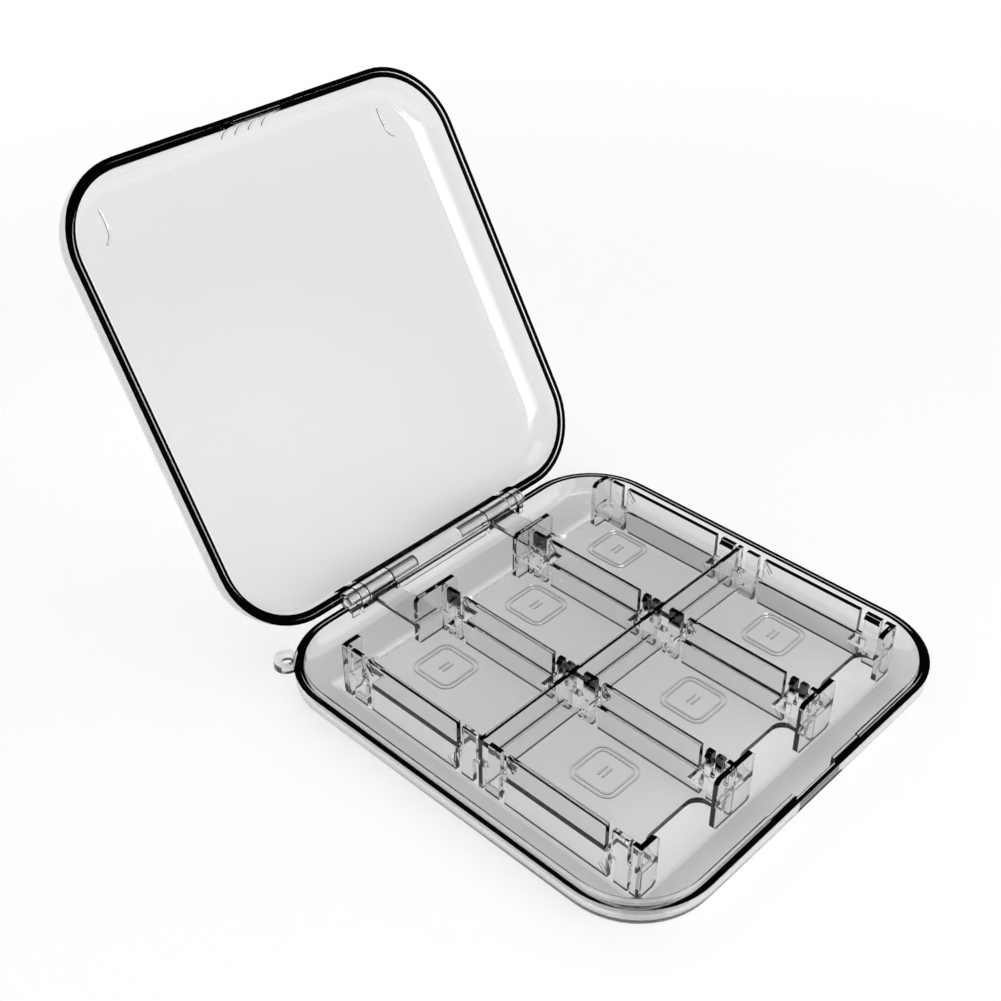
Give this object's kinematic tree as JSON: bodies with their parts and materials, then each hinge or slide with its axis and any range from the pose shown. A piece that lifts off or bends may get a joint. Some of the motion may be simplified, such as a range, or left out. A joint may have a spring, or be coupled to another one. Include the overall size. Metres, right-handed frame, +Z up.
{
  "type": "game card case",
  "caption": "Clear hinged square case whose two-sided card tray turns like a page on the lid's hinge, with snap-in pockets on both faces.",
  "frame": {"origin": "centre of the base's flat underside, with the lid standing open", "axes": "+X along the hinge, -Y towards the latch, +Y towards the hinge and the open lid, +Z up"},
  "size_m": [0.086, 0.1358, 0.0811],
  "materials": {
    "base_clear": "clear gloss, moulded",
    "lid_clear": "clear gloss, moulded",
    "tray_clear": "clear gloss, moulded, faint grey",
    "pin_grey": "grey satin rod"
  },
  "bodies": {
    "base": {"base_shell": "base_clear", "hinge_pin_left": "pin_grey", "hinge_pin_right": "pin_grey"},
    "lid": {"lid_shell": "lid_clear"},
    "tray": {"card_tray": "tray_clear"}
  },
  "joints": [
    {"name": "lid_hinge", "type": "hinge", "parent": "base", "child": "lid", "pos_m": [0, 0.0434, 0.00725], "axis": [-1, 0, 0], "range_deg": [-121.45, 0]},
    {"name": "tray_hinge", "type": "hinge", "parent": "base", "child": "tray", "pos_m": [0, 0.0434, 0.00725], "axis": [-1, 0, 0], "range_deg": [0, 121.45]}
  ]
}
